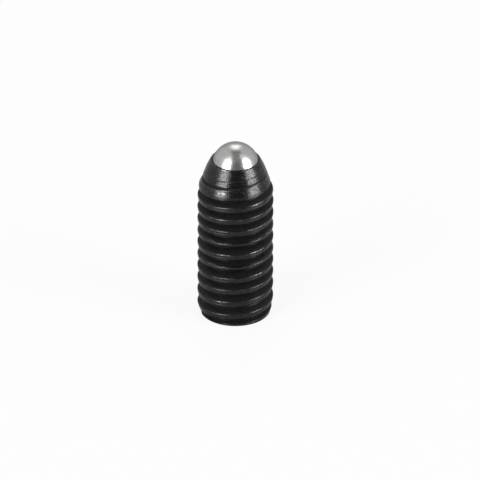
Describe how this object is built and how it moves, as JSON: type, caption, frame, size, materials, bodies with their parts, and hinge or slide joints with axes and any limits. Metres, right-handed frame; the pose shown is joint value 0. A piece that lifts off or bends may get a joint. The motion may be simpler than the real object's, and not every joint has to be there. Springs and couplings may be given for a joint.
{
  "type": "ball-nose spring plunger",
  "caption": "Threaded black steel plunger with a domed nose and a sprung steel ball, set in a hole to index or latch a sliding part.",
  "frame": {"origin": "centre of the flat drive end face, on the axis", "axes": "+Z along the axis from the drive end to the ball; +X is the side where a thread groove's centre is 0.57 mm above the drive end"},
  "size_m": [0.004, 0.004, 0.0099],
  "materials": {
    "black_steel": "black oxide over turned and rolled steel, lightly oiled",
    "ball_steel": "bright satin bearing steel",
    "spring_steel": "drawn spring wire"
  },
  "bodies": {
    "casing": {"threaded_body": "black_steel", "compression_spring": "spring_steel"},
    "ball": {"detent_ball": "ball_steel"}
  },
  "joints": [
    {"name": "ball_plunge", "type": "slide", "parent": "casing", "child": "ball", "axis": [0, 0, -1], "range_m": [0, 0.0008], "stiffness_N_per_m": 5680, "springref_m": -0.00106, "deforming": ["compression_spring"]}
  ]
}
